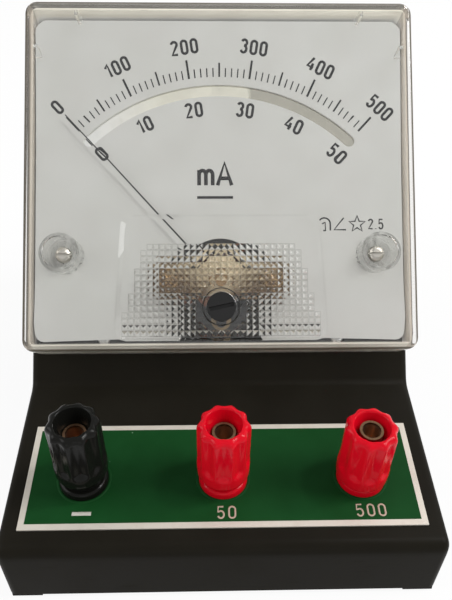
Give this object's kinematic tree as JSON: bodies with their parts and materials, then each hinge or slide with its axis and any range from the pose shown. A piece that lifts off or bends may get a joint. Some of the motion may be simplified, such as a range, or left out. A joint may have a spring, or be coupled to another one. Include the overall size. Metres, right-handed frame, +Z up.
{
  "type": "analog panel meter",
  "caption": "Moving-coil milliammeter in a sloped bench console, with a clear cover over a mirrored dial and three 4 mm binding posts on a front deck.",
  "frame": {"origin": "centre of the footprint, on the table", "axes": "+X to the right of the person who reads the dial, +Y towards the back of the console, +Z up"},
  "size_m": [0.102, 0.13, 0.1079],
  "materials": {
    "black_moulding": "satin gloss",
    "clear_plastic": "clear moulded",
    "black_plastic": "satin",
    "black_knob": "gloss",
    "red_knob": "gloss",
    "label_metal": "satin",
    "green_print": "satin print",
    "dial_paint": "matt white enamel",
    "black_print": "matt print",
    "mirror": "mirror",
    "brass": "satin",
    "nickel": "dull nickel plate",
    "steel": "bright",
    "soft_iron": "ground",
    "magnet_alloy": "cast",
    "aluminium": "satin",
    "copper_wire": "enamelled wire",
    "manganin_wire": "enamelled wire",
    "spring_bronze": "bright",
    "board": "laminate",
    "bobbin": "fibre"
  },
  "bodies": {
    "case": {"housing": "black_moulding", "bottom_plate": "black_plastic", "bottom_screws": "steel", "label_plate": "label_metal", "label_print": "green_print", "clear_cover": "clear_plastic", "cover_screws": "nickel", "dial_plate": "dial_paint", "scale_marks": "black_print", "mirror_strip": "mirror", "movement_plate": "black_plastic", "movement_screws": "steel", "magnet": "magnet_alloy", "pole_piece_left": "soft_iron", "pole_piece_right": "soft_iron", "iron_core": "soft_iron", "core_bracket": "brass", "bracket_screws": "brass", "front_bridge": "brass", "bridge_pillars": "brass", "bridge_screws": "brass", "front_jewel_screw": "brass", "rear_bridge": "brass", "rear_bridge_screws": "brass", "rear_jewel_screw": "brass", "rear_hairspring": "spring_bronze", "shunt_board": "board", "board_screws": "steel", "shunt_bobbins": "bobbin", "shunt_windings": "manganin_wire", "collar_minus": "black_knob", "collar_50": "red_knob", "collar_500": "red_knob", "stud_minus": "brass", "stud_50": "brass", "stud_500": "brass", "lower_insulators": "black_plastic", "stud_nuts": "brass", "solder_tags": "nickel"},
    "moving_coil": {"pointer": "black_print", "balance_cross": "aluminium", "coil_former": "aluminium", "coil_winding": "copper_wire", "front_pivot": "steel", "rear_pivot": "steel"},
    "zero_lever": {"zero_lever": "brass", "front_hairspring": "spring_bronze"},
    "zero_adjuster": {"zero_adjuster": "black_plastic"},
    "clamp_washer_minus": {"clamp_washer_minus": "nickel"},
    "knob_minus": {"knob_minus": "black_knob", "knob_insert_minus": "brass"},
    "clamp_washer_50": {"clamp_washer_50": "nickel"},
    "knob_50": {"knob_50": "red_knob", "knob_insert_50": "brass"},
    "clamp_washer_500": {"clamp_washer_500": "nickel"},
    "knob_500": {"knob_500": "red_knob", "knob_insert_500": "brass"}
  },
  "joints": [
    {"name": "pointer_swing", "type": "hinge", "parent": "case", "child": "moving_coil", "pos_m": [0, -0.00362, 0.04671], "axis": [0, 0.766, -0.6428], "range_deg": [-2, 87], "stiffness_Nm_per_rad": 0.00002},
    {"name": "zero_adjuster_turn", "type": "hinge", "parent": "case", "child": "zero_adjuster", "pos_m": [0, -0.01564, 0.04778], "axis": [0, -0.766, 0.6428], "range_deg": [-25, 25]},
    {"name": "zero_lever_swing", "type": "hinge", "parent": "case", "child": "zero_lever", "pos_m": [0, -0.00607, 0.04876], "axis": [0, -0.766, 0.6428], "range_deg": [-9.5, 9.5]},
    {"name": "knob_lift_minus", "type": "slide", "parent": "case", "child": "clamp_washer_minus", "axis": [0, -0.1045, 0.9945], "range_m": [-0.0029, 0.0016]},
    {"name": "knob_turn_minus", "type": "hinge", "parent": "clamp_washer_minus", "child": "knob_minus", "pos_m": [-0.033, -0.04867, 0.0348], "axis": [0, -0.1045, 0.9945], "range_deg": [-1045, 577]},
    {"name": "knob_lift_50", "type": "slide", "parent": "case", "child": "clamp_washer_50", "axis": [0, -0.1045, 0.9945], "range_m": [-0.0016, 0.0029]},
    {"name": "knob_turn_50", "type": "hinge", "parent": "clamp_washer_50", "child": "knob_50", "pos_m": [0, -0.04867, 0.0348], "axis": [0, -0.1045, 0.9945], "range_deg": [-577, 1045]},
    {"name": "knob_lift_500", "type": "slide", "parent": "case", "child": "clamp_washer_500", "axis": [0, -0.1045, 0.9945], "range_m": [0, 0.0045]},
    {"name": "knob_turn_500", "type": "hinge", "parent": "clamp_washer_500", "child": "knob_500", "pos_m": [0.033, -0.04867, 0.0348], "axis": [0, -0.1045, 0.9945], "range_deg": [0, 1621]}
  ],
  "couplings": [
    {"joint": "zero_lever_swing", "follows": "zero_adjuster_turn", "ratio": 0.36111},
    {"joint": "knob_turn_minus", "follows": "knob_lift_minus", "rad_per_m": 6283.2},
    {"joint": "knob_turn_50", "follows": "knob_lift_50", "rad_per_m": 6283.2},
    {"joint": "knob_turn_500", "follows": "knob_lift_500", "rad_per_m": 6283.2}
  ]
}
